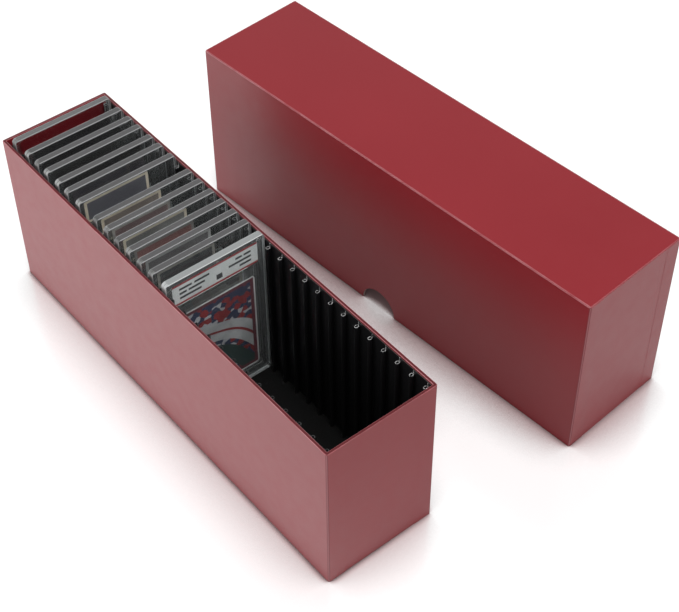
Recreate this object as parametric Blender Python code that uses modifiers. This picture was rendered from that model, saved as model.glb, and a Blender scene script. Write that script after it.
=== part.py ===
"""A long box of covered board with a lift-off lid, which stores graded card slabs on edge.

Two comb racks stand along its long walls, and each slab stands between a pair of their slots.
+X runs along the box, +Z is up, and the origin is the middle of the box's underside.
The lid stands beside the box on its rim, as it does when the box is in use.
"""
import math

import bmesh
import bpy
from mathutils import Vector

MM = 0.001

# Box: its length, and how far the slabs stand above its rim
BOX_LENGTH = 382.0 * MM
SLAB_PROUD = 4.95 * MM

# Sheet materials, shared by the box and the lid
BOARD = 1.5 * MM
COVER = 0.3 * MM
LINING = 0.25 * MM
GLUE_LINE = 0.1 * MM
CORNER_RADIUS = 1.4 * MM
COVER_LIFT = 0.1 * MM
TURN_IN = 18.0 * MM
SEAM = 0.3 * MM

# Slab: two clear halves welded round a card and a label
CARD_WIDTH = 63.5 * MM
CARD_HEIGHT = 88.9 * MM
CARD_THICKNESS = 0.4 * MM
CARD_FROM_SIDE = 9.5 * MM
CARD_FROM_FOOT = 12.0 * MM
CARD_TO_LABEL = 11.1 * MM
LABEL_HEIGHT = 19.0 * MM
LABEL_THICKNESS = 0.4 * MM
LABEL_FROM_SIDE = 5.75 * MM
LABEL_FROM_TOP = 5.5 * MM
SLAB_WALL = 1.7 * MM
SLAB_CORNER = 3.0 * MM
WINDOW_DEPTH = 0.5 * MM
WINDOW_BORDER = 1.5 * MM
POCKET_SPARE = 0.3 * MM
WELD_LINE = 0.1 * MM

# Where a slab stands
SEAT_GAP = 0.3 * MM
SLAB_SIDE_GAP = 0.85 * MM

# Comb racks along the long walls: how far their sheets and their ribs stop below the rim,
# and how much of each neck stays on the sheet above its rib
RACK_SHEET = 0.5 * MM
RACK_DROP = 1.2 * MM
RIB_DROP = 4.5 * MM
RIB_PITCH = 13.7 * MM
RIB_WIDTH = 2.5 * MM
RIB_DEPTH = 3.1 * MM
RIB_WALL = 0.7 * MM
RIB_CORNER = 0.8 * MM
NECK_DEPTH = 0.5 * MM
NECK_RIDGE = 0.3 * MM
FLOOR_LINER = 0.8 * MM

# Lid
LID_CLEARANCE = 0.45 * MM
LID_HEADROOM = 1.3 * MM
NOTCH_RADIUS = 17.0 * MM
LID_STANDOFF = 99.0 * MM
LID_SHIFT = 13.5 * MM
LID_TURN = math.radians(4.72)

# Slots that hold a slab, counted from the left end, and where each slab stands in its
# slot: -1 is against the left rib and 1 against the right one, less the seat gap
SLAB_PLACE_SHARES = {
    0: -0.5, 1: 1.0, 2: 1.0, 3: 0.5, 4: 1.0, 5: 0.5, 6: 1.0,
    8: -1.0, 9: -1.0, 10: -1.0, 11: -1.0, 12: -1.0, 13: -1.0, 14: -0.3,
}

# Rounding and cutting
CORNER_STEPS = 3
SLAB_CORNER_STEPS = 3
RIB_CORNER_STEPS = 1
NOTCH_SIDES = 48
OVERRUN = 5.0 * MM
MERGE_DISTANCE = 0.01 * MM
STRAIGHT_SHARE = 0.9

# Worked out for the slab
SLAB_WIDTH = CARD_WIDTH + 2 * CARD_FROM_SIDE
SLAB_HEIGHT = CARD_FROM_FOOT + CARD_HEIGHT + CARD_TO_LABEL + LABEL_HEIGHT + LABEL_FROM_TOP
SLAB_THICKNESS = CARD_THICKNESS + 2 * (POCKET_SPARE + SLAB_WALL + WINDOW_DEPTH)
LABEL_WIDTH = SLAB_WIDTH - 2 * LABEL_FROM_SIDE
LABEL_FROM_FOOT = SLAB_HEIGHT - LABEL_FROM_TOP - LABEL_HEIGHT

# Worked out for the box
WALL = COVER + GLUE_LINE + BOARD + GLUE_LINE + COVER
BOARD_INSET = COVER + GLUE_LINE
LINING_INSET = BOARD_INSET + BOARD + GLUE_LINE
FLOOR_TOP = LINING_INSET + LINING
LINER_LOW = FLOOR_TOP + GLUE_LINE
LINER_TOP = LINER_LOW + FLOOR_LINER
SLAB_FOOT = LINER_TOP + SEAT_GAP
SLAB_TOP = SLAB_FOOT + SLAB_HEIGHT
RACK_FACE = SLAB_WIDTH / 2 + SLAB_SIDE_GAP
INNER_LENGTH = BOX_LENGTH - 2 * WALL
INNER_WIDTH = 2 * (RACK_FACE + RACK_SHEET + GLUE_LINE)
BOX_WIDTH = INNER_WIDTH + 2 * WALL
BOX_HEIGHT = SLAB_TOP - SLAB_PROUD
RACK_LOW = LINER_TOP + GLUE_LINE
RACK_TOP = BOX_HEIGHT - RACK_DROP
RIB_TOP = BOX_HEIGHT - RIB_DROP
RACK_MIDDLE = (RACK_LOW + RACK_TOP) / 2
RACK_END = INNER_LENGTH / 2 - SEAT_GAP
RIBS_PER_RACK = int((RACK_END - (RIB_PITCH + RIB_WIDTH) / 2) / RIB_PITCH) + 1
MIDDLE_SLOT = RIBS_PER_RACK - 1

# Worked out for the slabs' places and what they hold: width, foot, height and thickness
SLAB_CONTENTS = (
    ("card", CARD_WIDTH, CARD_FROM_FOOT, CARD_HEIGHT, CARD_THICKNESS),
    ("label", LABEL_WIDTH, LABEL_FROM_FOOT, LABEL_HEIGHT, LABEL_THICKNESS),
)
SLAB_PLAY = (RIB_PITCH - RIB_WIDTH - SLAB_THICKNESS) / 2 - SEAT_GAP
LAST_SLOT = max(SLAB_PLACE_SHARES)

# Worked out for the lid
LID_WALL = LINING_INSET + LINING
LID_LENGTH = BOX_LENGTH + 2 * (LID_CLEARANCE + LID_WALL)
LID_WIDTH = BOX_WIDTH + 2 * (LID_CLEARANCE + LID_WALL)
LID_HEIGHT = SLAB_TOP + LID_HEADROOM + LID_WALL
LID_PLACE = (LID_SHIFT, (BOX_WIDTH + LID_WIDTH) / 2 + LID_STANDOFF, 0.0)

# Colour, roughness, metallic value and opacity of each finish
FINISHES = {
    "red_cover": ((0.32, 0.035, 0.045), 0.42, 0.0, 1.0),
    "greyboard": ((0.36, 0.33, 0.29), 0.9, 0.0, 1.0),
    "red_lining": ((0.16, 0.02, 0.025), 0.6, 0.0, 1.0),
    "black_plastic": ((0.012, 0.012, 0.012), 0.35, 0.0, 1.0),
    "black_liner": ((0.014, 0.014, 0.014), 0.8, 0.0, 1.0),
    "clear_plastic": ((0.82, 0.85, 0.86), 0.12, 0.0, 0.35),
    "label_paper": ((0.72, 0.76, 0.74), 0.5, 0.0, 1.0),
    "card_stock": ((0.55, 0.5, 0.45), 0.4, 0.0, 1.0),
}


def clear_scene():
    """Remove whatever the file opened with."""
    for item in list(bpy.data.objects):
        bpy.data.objects.remove(item, do_unlink=True)


def new_collection(name):
    """Make a collection and link it to the scene."""
    group = bpy.data.collections.new(name)
    bpy.context.scene.collection.children.link(group)
    return group


def new_material(name, finish):
    """Make a sub-part's own material in one of the finishes."""
    colour, roughness, metallic, opacity = FINISHES[finish]
    material = bpy.data.materials.new(name)
    material.use_nodes = True
    shader = material.node_tree.nodes["Principled BSDF"]
    shader.inputs["Base Color"].default_value = (*colour, 1.0)
    shader.inputs["Roughness"].default_value = roughness
    shader.inputs["Metallic"].default_value = metallic
    shader.inputs["Alpha"].default_value = opacity
    return material


def new_empty(name, place, turn=0.0, parent=None):
    """An empty that carries pieces which move together."""
    empty = bpy.data.objects.new(name, None)
    empty.location = place
    empty.rotation_euler.z = turn
    empty.parent = parent
    CASE.objects.link(empty)
    return empty


def part(name, mesh, finish, parent=None):
    """Link a piece of the case, in its own material."""
    if not mesh.materials:
        mesh.materials.append(None)
    piece = bpy.data.objects.new(name, mesh)
    piece.parent = parent
    CASE.objects.link(piece)
    piece.material_slots[0].link = "OBJECT"
    piece.material_slots[0].material = new_material(name, finish)
    return piece


def cutter(name, mesh, parent=None):
    """Link a shape that only cuts others."""
    shape = bpy.data.objects.new(name, mesh)
    shape.parent = parent
    shape.hide_render = True
    shape.display_type = "WIRE"
    CUTTERS.objects.link(shape)
    return shape


def cut(piece, *shapes):
    """Take each shape out of the piece."""
    for shape in shapes:
        boolean = piece.modifiers.new("cut_" + shape.name, "BOOLEAN")
        boolean.operation = "DIFFERENCE"
        boolean.solver = "EXACT"
        boolean.object = shape


def upright(middle, run):
    """Pick the edges along Z."""
    return abs(run.z) > STRAIGHT_SHARE


def upright_or_top(middle, run):
    """Pick the edges along Z and those round the top."""
    return upright(middle, run) or middle.z > 0


def upright_towards(side):
    """Pick the edges along Z on one side of Y."""
    return lambda middle, run: upright(middle, run) and middle.y * side > 0


def across(middle, run):
    """Pick the edges along X."""
    return abs(run.x) > STRAIGHT_SHARE


def block(name, low, high, pick=None, radius=0.0, steps=CORNER_STEPS):
    """A box from low to high, with the edges that pick chooses rounded."""
    low = Vector(low)
    high = Vector(high)
    work = bmesh.new()
    bmesh.ops.create_cube(work, size=1.0)
    bmesh.ops.scale(work, vec=high - low, verts=work.verts)
    if pick:
        chosen = []
        for edge in work.edges:
            first, last = (corner.co for corner in edge.verts)
            if pick((first + last) / 2, (last - first).normalized()):
                chosen.append(edge)
        bmesh.ops.bevel(work, geom=chosen, offset=radius, offset_type="OFFSET",
                        segments=steps, profile=0.5, affect="EDGES", clamp_overlap=True)
    bmesh.ops.translate(work, vec=(low + high) / 2, verts=work.verts)
    mesh = bpy.data.meshes.new(name)
    work.to_mesh(mesh)
    work.free()
    return mesh


def centred(name, length, width, bottom, top, **rounding):
    """A box about the Z axis, between two heights."""
    low = (-length / 2, -width / 2, bottom)
    high = (length / 2, width / 2, top)
    return block(name, low, high, **rounding)


def open_tray(name, length, width, bottom, top, open_side):
    """The outside of a five-sided tray about the Z axis, open towards open_side of Z."""
    work = bmesh.new()
    bmesh.ops.create_cube(work, size=1.0)
    bmesh.ops.scale(work, vec=(length, width, top - bottom), verts=work.verts)
    bmesh.ops.translate(work, vec=(0.0, 0.0, (top + bottom) / 2), verts=work.verts)
    work.normal_update()
    mouth = [face for face in work.faces if face.normal.z * open_side > STRAIGHT_SHARE]
    bmesh.ops.delete(work, geom=mouth, context="FACES")
    mesh = bpy.data.meshes.new(name)
    work.to_mesh(mesh)
    work.free()
    return mesh


def thicken(piece, thickness):
    """Give an open surface its thickness, inwards."""
    solidify = piece.modifiers.new("thickness", "SOLIDIFY")
    solidify.thickness = thickness
    solidify.offset = -1.0
    solidify.use_even_offset = True


def baked(source):
    """The mesh of an object as its modifiers leave it; the object itself goes."""
    bpy.context.view_layer.update()
    graph = bpy.context.evaluated_depsgraph_get()
    mesh = bpy.data.meshes.new_from_object(source.evaluated_get(graph))
    bpy.data.objects.remove(source, do_unlink=True)
    return mesh


# The box

def make_box_boards():
    """Five greyboards: a floor between two long walls and two end walls."""
    half_length = BOX_LENGTH / 2 - BOARD_INSET
    half_width = BOX_WIDTH / 2 - BOARD_INSET
    top = BOX_HEIGHT - BOARD_INSET
    round_radius = CORNER_RADIUS - BOARD_INSET
    for name, side in (("front", -1), ("rear", 1)):
        faces = sorted((side * half_width, side * (half_width - BOARD)))
        long_wall = block(f"box_{name}_board", (-half_length, faces[0], BOARD_INSET),
                          (half_length, faces[1], top),
                          pick=upright_towards(side), radius=round_radius)
        part(f"box_{name}_board", long_wall, "greyboard")
    end_width = half_width - BOARD - GLUE_LINE
    for name, side in (("left", -1), ("right", 1)):
        faces = sorted((side * half_length, side * (half_length - BOARD)))
        part(f"box_{name}_board",
             block(f"box_{name}_board", (faces[0], -end_width, BOARD_INSET),
                   (faces[1], end_width, top)), "greyboard")
    inset = 2 * (BOARD_INSET + BOARD + GLUE_LINE)
    part("box_floor_board",
         centred("box_floor_board", BOX_LENGTH - inset, BOX_WIDTH - inset,
                 BOARD_INSET, BOARD_INSET + BOARD), "greyboard")


def make_box_cover():
    """The covering: round the outside, over the rim and a little way down inside."""
    cover = part("box_cover",
                 centred("box_cover", BOX_LENGTH, BOX_WIDTH, COVER_LIFT, BOX_HEIGHT,
                         pick=upright, radius=CORNER_RADIUS), "red_cover")
    hollow = centred("box_hollow", INNER_LENGTH, INNER_WIDTH,
                     -OVERRUN, BOX_HEIGHT + OVERRUN)
    inner_radius = CORNER_RADIUS - COVER
    lower = centred("box_below_turn_in", BOX_LENGTH - 2 * COVER, BOX_WIDTH - 2 * COVER,
                    -OVERRUN, BOX_HEIGHT - TURN_IN, pick=upright, radius=inner_radius)
    layer = cutter("box_board_layer",
                   centred("box_board_layer", BOX_LENGTH - 2 * COVER, BOX_WIDTH - 2 * COVER,
                           -OVERRUN, BOX_HEIGHT - COVER, pick=upright, radius=inner_radius))
    turn_in = centred("box_turn_in_core", INNER_LENGTH + 2 * COVER, INNER_WIDTH + 2 * COVER,
                      -2 * OVERRUN, BOX_HEIGHT + OVERRUN)
    cut(layer, cutter("box_turn_in_core", turn_in))
    cut(cover, cutter("box_hollow", hollow), cutter("box_below_turn_in", lower), layer)


def make_box_sheets():
    """The sheet under the box, the paper lining inside it and the loose floor liner."""
    part("box_bottom_sheet",
         centred("box_bottom_sheet", BOX_LENGTH - 2 * BOARD_INSET,
                 BOX_WIDTH - 2 * BOARD_INSET, 0.0, COVER,
                 pick=upright, radius=CORNER_RADIUS - BOARD_INSET), "red_cover")
    paper = open_tray("box_lining", BOX_LENGTH - 2 * LINING_INSET,
                      BOX_WIDTH - 2 * LINING_INSET, LINING_INSET,
                      BOX_HEIGHT - TURN_IN - SEAM, open_side=1)
    thicken(part("box_lining", paper, "red_lining"), LINING)
    part("floor_liner",
         centred("floor_liner", INNER_LENGTH - 2 * SEAT_GAP, INNER_WIDTH - 2 * SEAT_GAP,
                 LINER_LOW, LINER_TOP), "black_liner")


# The racks

def rounded_corners(half_x, low_y, high_y, radius, steps):
    """Points anticlockwise round a rectangle with rounded corners, from its low Y side."""
    middles = (
        (half_x - radius, low_y + radius, -math.pi / 2),
        (half_x - radius, high_y - radius, 0.0),
        (-half_x + radius, high_y - radius, math.pi / 2),
        (-half_x + radius, low_y + radius, math.pi),
    )
    points = []
    for x, y, start in middles:
        for step in range(steps + 1):
            angle = start + math.pi / 2 * step / steps
            points.append((x + radius * math.cos(angle), y + radius * math.sin(angle)))
    return points


def rib_outline(x):
    """One rib of the comb, from its root's right side round its bulb and back to the left."""
    half_neck = RIB_WIDTH / 2 - RIB_CORNER
    points = [(half_neck, 0.0)]
    points += rounded_corners(RIB_WIDTH / 2, NECK_DEPTH, NECK_DEPTH + RIB_DEPTH,
                              RIB_CORNER, RIB_CORNER_STEPS)
    points.append((-half_neck, 0.0))
    return [(x + along, out) for along, out in points]


def rib_bore(x):
    """The hollow down the middle of one rib."""
    low = NECK_DEPTH + RIB_WALL
    high = NECK_DEPTH + RIB_DEPTH - RIB_WALL
    half = RIB_WIDTH / 2 - RIB_WALL
    return [(x - half, low), (x - half, high), (x + half, high), (x + half, low)]


def add_outline(curve, points):
    """Add one closed outline to a flat curve."""
    spline = curve.splines.new("POLY")
    spline.points.add(len(points) - 1)
    for place, (x, y) in zip(spline.points, points):
        place.co = (x, y, 0.0, 1.0)
    spline.use_cyclic_u = True


def make_right_end():
    """The comb's cross-section, extruded about its own middle, its ribs cut back at the top."""
    start = SEAM / 2
    outline = [(start, -RACK_SHEET), (RACK_END, -RACK_SHEET), (RACK_END, 0.0)]
    places = [RIB_PITCH / 2 + RIB_PITCH * index for index in range(RIBS_PER_RACK)]
    for x in reversed(places):
        outline += rib_outline(x)
    outline.append((start, 0.0))
    curve = bpy.data.curves.new("rack_profile", "CURVE")
    curve.dimensions = "2D"
    curve.fill_mode = "BOTH"
    curve.extrude = (RACK_TOP - RACK_LOW) / 2
    add_outline(curve, outline)
    for x in places:
        add_outline(curve, rib_bore(x))
    source = bpy.data.objects.new("rack_profile", curve)
    CASE.objects.link(source)
    mesh = baked(source)
    work = bmesh.new()
    work.from_mesh(mesh)
    bmesh.ops.remove_doubles(work, verts=work.verts, dist=MERGE_DISTANCE)
    bmesh.ops.recalc_face_normals(work, faces=work.faces)
    work.to_mesh(mesh)
    work.free()
    comb = bpy.data.objects.new("rack_right_end", mesh)
    CASE.objects.link(comb)
    cut(comb, cutter("over_ribs",
                     block("over_ribs", (0.0, NECK_RIDGE, RIB_TOP - RACK_MIDDLE),
                           (RACK_END, NECK_DEPTH + RIB_DEPTH + OVERRUN,
                            RACK_TOP - RACK_MIDDLE + OVERRUN))))
    return baked(comb)


def make_racks():
    """Four lengths of comb: two end to end along each long wall, ribs facing in."""
    right_end = make_right_end()
    for name, wall_side, mirrored in (
            ("rack_front_right", -1, False), ("rack_rear_left", 1, False),
            ("rack_front_left", -1, True), ("rack_rear_right", 1, True)):
        mesh = right_end.copy()
        if mirrored:
            flip_ends(mesh)
        rack = part(name, mesh, "black_plastic")
        rack.location = (0.0, wall_side * RACK_FACE, RACK_MIDDLE)
        rack.rotation_euler.z = math.pi if wall_side > 0 else 0.0


def flip_ends(mesh):
    """Mirror a mesh end for end along X, with its faces kept pointing out."""
    work = bmesh.new()
    work.from_mesh(mesh)
    bmesh.ops.scale(work, vec=(-1.0, 1.0, 1.0), verts=work.verts)
    bmesh.ops.reverse_faces(work, faces=work.faces)
    work.to_mesh(mesh)
    work.free()


# The lid

def make_lid_boards(lid):
    """Five greyboards: a top over two long walls and two end walls."""
    half_length = LID_LENGTH / 2 - BOARD_INSET
    half_width = LID_WIDTH / 2 - BOARD_INSET
    top = LID_HEIGHT - BOARD_INSET
    under_top = top - BOARD - GLUE_LINE
    round_radius = CORNER_RADIUS - BOARD_INSET
    part("lid_top_board",
         centred("lid_top_board", 2 * half_length, 2 * half_width, top - BOARD, top,
                 pick=upright_or_top, radius=round_radius), "greyboard", lid)
    for name, side in (("front", -1), ("rear", 1)):
        faces = sorted((side * half_width, side * (half_width - BOARD)))
        mesh = block(f"lid_{name}_board", (-half_length, faces[0], 0.0),
                     (half_length, faces[1], under_top),
                     pick=upright_towards(side), radius=round_radius)
        cut(part(f"lid_{name}_board", mesh, "greyboard", lid), NOTCH)
    end_width = half_width - BOARD - GLUE_LINE
    for name, side in (("left", -1), ("right", 1)):
        faces = sorted((side * half_length, side * (half_length - BOARD)))
        mesh = block(f"lid_{name}_board", (faces[0], -end_width, 0.0),
                     (faces[1], end_width, under_top))
        part(f"lid_{name}_board", mesh, "greyboard", lid)


def make_lid_cover(lid):
    """The covering over the lid's top and walls, notched with them."""
    cover = part("lid_cover",
                 centred("lid_cover", LID_LENGTH, LID_WIDTH, COVER_LIFT, LID_HEIGHT,
                         pick=upright_or_top, radius=CORNER_RADIUS), "red_cover", lid)
    core = centred("lid_cover_core", LID_LENGTH - 2 * COVER, LID_WIDTH - 2 * COVER,
                   -OVERRUN, LID_HEIGHT - COVER,
                   pick=upright_or_top, radius=CORNER_RADIUS - COVER)
    cut(cover, cutter("lid_cover_core", core, lid), NOTCH)


def make_lid_lining(lid):
    """The paper that lines the lid, notched with its walls."""
    paper = open_tray("lid_lining", LID_LENGTH - 2 * LINING_INSET,
                      LID_WIDTH - 2 * LINING_INSET, COVER_LIFT,
                      LID_HEIGHT - LINING_INSET, open_side=-1)
    lining = part("lid_lining", paper, "red_lining", lid)
    thicken(lining, LINING)
    cut(lining, NOTCH)


def make_notch(lid):
    """The round that cuts a thumb notch in both long walls' lower edge."""
    work = bmesh.new()
    bmesh.ops.create_cone(work, cap_ends=True, segments=NOTCH_SIDES,
                          radius1=NOTCH_RADIUS, radius2=NOTCH_RADIUS,
                          depth=LID_WIDTH + 2 * OVERRUN)
    mesh = bpy.data.meshes.new("thumb_notch")
    work.to_mesh(mesh)
    work.free()
    notch = cutter("thumb_notch", mesh, lid)
    notch.rotation_euler.x = math.pi / 2
    return notch


# The slabs

def shallow_box(name, width, low, height, spare, depth_from, depth_to):
    """Cuts one half of a slab round a card or a label, with some to spare on every side."""
    side = width / 2 + spare
    return cutter(name, block(name, (depth_from, -side, low - spare),
                              (depth_to, side, low + height + spare)))


def make_slab_half():
    """One clear half: recessed windows outside, pockets for card and label inside."""
    inner = WELD_LINE / 2
    outer = SLAB_THICKNESS / 2
    body = block("slab_half", (inner, -SLAB_WIDTH / 2, 0.0),
                 (outer, SLAB_WIDTH / 2, SLAB_HEIGHT),
                 pick=across, radius=SLAB_CORNER, steps=SLAB_CORNER_STEPS)
    half = bpy.data.objects.new("slab_half", body)
    CASE.objects.link(half)
    for name, width, low, height, thickness in SLAB_CONTENTS:
        pocket = shallow_box(name + "_pocket", width, low, height, POCKET_SPARE,
                             -OVERRUN, thickness / 2 + POCKET_SPARE)
        window = shallow_box(name + "_window", width, low, height, WINDOW_BORDER,
                             outer - WINDOW_DEPTH, outer + OVERRUN)
        cut(half, pocket, window)
    return baked(half)


def make_slabs():
    """Every slab stands on the floor liner in its slot; the last one shows its face."""
    half = make_slab_half()
    for count, (slot, share) in enumerate(SLAB_PLACE_SHARES.items(), start=1):
        x = (slot - MIDDLE_SLOT) * RIB_PITCH + share * SLAB_PLAY
        name = f"slab_{count:02d}"
        slab = new_empty(name + "_lift", (x, 0.0, SLAB_FOOT))
        part(name + "_front_half", half, "clear_plastic", slab)
        back = part(name + "_back_half", half, "clear_plastic", slab)
        back.rotation_euler.z = math.pi
        if slot == LAST_SLOT:
            make_slab_contents(name, slab)


def make_slab_contents(slab_name, slab):
    """The card and the label between the two halves."""
    finishes = {"card": "card_stock", "label": "label_paper"}
    for content, width, low, height, thickness in SLAB_CONTENTS:
        name = f"{slab_name}_{content}"
        sheet = block(name, (-thickness / 2, -width / 2, low),
                      (thickness / 2, width / 2, low + height))
        part(name, sheet, finishes[content], slab)


clear_scene()
CASE = new_collection("graded_card_storage_case")
CUTTERS = new_collection("cutters")
make_box_boards()
make_box_cover()
make_box_sheets()
make_racks()
LID = new_empty("lid_lift", LID_PLACE, LID_TURN)
NOTCH = make_notch(LID)
make_lid_boards(LID)
make_lid_cover(LID)
make_lid_lining(LID)
make_slabs()
bpy.context.view_layer.update()
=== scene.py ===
"""Looks for the graded card storage case: a covered box of slots, its lid, and slabs on edge.

Lengths are in metres, written in millimetres times MM. +X runs along the box, +Z is up.
"""
import math

import bmesh
import bpy
from mathutils import Matrix, Vector


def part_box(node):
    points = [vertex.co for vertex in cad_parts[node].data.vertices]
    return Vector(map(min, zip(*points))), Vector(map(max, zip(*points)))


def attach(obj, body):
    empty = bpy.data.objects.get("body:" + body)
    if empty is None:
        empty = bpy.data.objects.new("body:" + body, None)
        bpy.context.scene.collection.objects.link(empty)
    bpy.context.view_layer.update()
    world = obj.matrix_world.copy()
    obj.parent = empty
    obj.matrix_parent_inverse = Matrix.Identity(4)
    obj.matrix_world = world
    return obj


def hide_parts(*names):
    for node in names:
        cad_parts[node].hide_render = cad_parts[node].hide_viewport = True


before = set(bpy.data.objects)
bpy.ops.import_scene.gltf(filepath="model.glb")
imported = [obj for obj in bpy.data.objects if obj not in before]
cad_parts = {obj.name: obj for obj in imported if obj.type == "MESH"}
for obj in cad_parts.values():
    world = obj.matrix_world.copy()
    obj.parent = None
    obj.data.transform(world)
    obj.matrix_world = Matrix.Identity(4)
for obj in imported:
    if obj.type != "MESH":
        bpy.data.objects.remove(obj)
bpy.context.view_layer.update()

MM = 0.001

# The photograph's width in pixels, and the camera fitted to the box's and lid's corners in it
PHOTO_WIDTH_PX = 679
FOCAL_PX = 1546.3
SENSOR = 36.0
CAMERA_PLACE = (650.2 * MM, -402.1 * MM, 869.6 * MM)
CAMERA_AZIMUTH = math.radians(51.273)
CAMERA_ELEVATION = math.radians(46.086)
CAMERA_ROLL = math.radians(-0.518)

# Covering paper, and how it is folded over the boards
PAPER = 0.3 * MM
BOX_TURN_IN = 18.0 * MM
LID_TURN_IN = 15.0 * MM
SHEET_SEAM = 0.3 * MM
CORNER_RADIUS = 1.4 * MM
RIM_RADIUS = 0.55 * MM
FOLD_RADIUS = 0.5 * MM
LEAST_RADIUS = 0.3 * MM
CORNER_LAP = 14.0 * MM
LAP_STEP = 0.2 * MM
LAP_SLOPE = 0.4 * MM
CORNER_STEPS = 6
ROUND_STEPS = 5

# Walls, through board, glue and both sheets
BOX_WALL = 2.3 * MM
LID_WALL = 2.25 * MM
LINING = 0.25 * MM
BOARD_CLEARANCE = 0.1 * MM
MERGE_DISTANCE = 0.01 * MM
LID_TURN = math.radians(4.72)
LID_LENGTH = 387.4 * MM
LID_WIDTH = 95.4 * MM
NOTCH_RADIUS = 17.0 * MM
NOTCH_SIDES = 96

# Comb racks: a thin sheet with hollow ribs on it, sawn off below the sheet's top, and what
# the saw left of each rib's neck above it
RACK_SHEET = 0.5 * MM
RIB_PITCH = 13.7 * MM
RIBS_PER_RACK = 14
RIB_BELOW_SHEET = 3.3 * MM
RIB_WIDTH = 2.5 * MM
RIB_DEPTH = 3.1 * MM
RIB_WALL = 0.42 * MM
RIB_CORNER = 1.0 * MM
RIB_STEPS = 4
NECK_WIDTH = 0.9 * MM
NECK_DEPTH = 0.5 * MM
NECK_RIDGE = 0.3 * MM
RIDGE_WIDTH = 0.5 * MM
RIDGE_HIDDEN = 0.1 * MM
CUT_BAND = 0.2 * MM

# Slabs: two clear halves round a label and a card. The first one holds no label, and the
# last one, at the front, shows what it holds.
SLABS = 14
FIRST_SLAB = 1
FRONT_SLAB = SLABS
PLASTIC_IOR = 1.49
SLAB_CORNER = 3.0 * MM
SLAB_STEPS = 7
SEAM_SHOWN = 0.01 * MM
SEAM_BAND = 0.3 * MM
EDGE_ROUND = 0.5 * MM
RIM_BAND = 3.4 * MM
RIM_STEP = 0.28 * MM
RIM_SLOPE = 0.35 * MM
WINDOW_DEPTH = 0.5 * MM
WINDOW_BORDER = 1.5 * MM
WINDOW_CORNER = 2.0 * MM
WINDOW_SLOPE = 0.3 * MM
POCKET_SPARE = 0.3 * MM
POCKET_DEPTH = 0.5 * MM
POCKET_CORNER = 0.8 * MM
OVERRUN = 5.0 * MM

# What the slabs hold
CARD_WIDTH = 63.5 * MM
CARD_HEIGHT = 88.9 * MM
CARD_FROM_FOOT = 12.0 * MM
CARD_CORNER = 3.0 * MM
CARD_EDGE = 1.3 * MM
CARD_FRAME = 4.2 * MM
SHEET_THICKNESS = 0.4 * MM
LABEL_WIDTH = 71.0 * MM
LABEL_HEIGHT = 19.0 * MM
LABEL_FROM_TOP = 5.5 * MM
LABEL_CORNER = 1.0 * MM
LABEL_BAND = 1.7 * MM
LABEL_BAND_COLOUR = (0.42, 0.012, 0.02)
LABEL_FIELD = (0.96, 1.0, 0.99)
SIDE_LABEL_LEFT = -36.5 * MM
SIDE_LABEL_FROM_TOP = 2.8 * MM
SIDE_LABEL_HEIGHT = 20.0 * MM
SIDE_LABEL_BORDER = 2.2 * MM

# A print's waves, in radians per metre, and how far they sway. Then a card's bands, by middle
# and half width, and the turn of its print: the front card's, and what each next one adds.
LABEL_WAVES = 4200.0
LABEL_SWAY = 9.0 * MM
PRINT_WAVES = 70.0
PRINT_SWAY = 5.0 * MM
PRINT_BAND = (-6.0 * MM, 9.0 * MM)
PRINT_STRIPE = (-6.0 * MM, 1.1 * MM)
PRINT_LOW_BAND = (-27.0 * MM, 7.0 * MM)
PRINT_TURN = 35
PRINT_STEP = 23

# Colours of the prints: ground, patches, spots, band, low band and frame
FRONT_PALETTE = ((0.02, 0.035, 0.10), (0.33, 0.012, 0.016), (0.55, 0.55, 0.58),
                 (0.62, 0.63, 0.64), (0.012, 0.045, 0.040), (0.15, 0.02, 0.035))
QUIET_PALETTES = (
    ((0.03, 0.03, 0.05), (0.07, 0.06, 0.06), (0.20, 0.19, 0.18),
     (0.12, 0.12, 0.13), (0.04, 0.05, 0.05), (0.30, 0.27, 0.22)),
    ((0.06, 0.03, 0.03), (0.10, 0.04, 0.03), (0.25, 0.22, 0.20),
     (0.16, 0.13, 0.11), (0.05, 0.06, 0.08), (0.45, 0.40, 0.32)),
    ((0.03, 0.05, 0.04), (0.05, 0.07, 0.09), (0.22, 0.24, 0.22),
     (0.14, 0.17, 0.15), (0.08, 0.05, 0.03), (0.36, 0.36, 0.34)),
)

# The front label's rows of plain bars, in millimetres: a row's height and its bars' ends.
# Then a bar's height, and a small block: its ends, its middle and its height.
BAR_ROWS = (
    (4.0, ((-30.0, -19.5), (-17.5, -5.0), (17.0, 22.5), (24.0, 30.0))),
    (0.0, ((-30.0, -24.0), (-22.5, -9.0), (11.0, 30.0))),
    (-4.0, ((-30.0, -12.0), (20.0, 30.0))),
)
BAR_HEIGHT = 1.9 * MM
LABEL_BLOCK = (0.5 * MM, 5.5 * MM, -3.4 * MM, 4.6 * MM)

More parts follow.
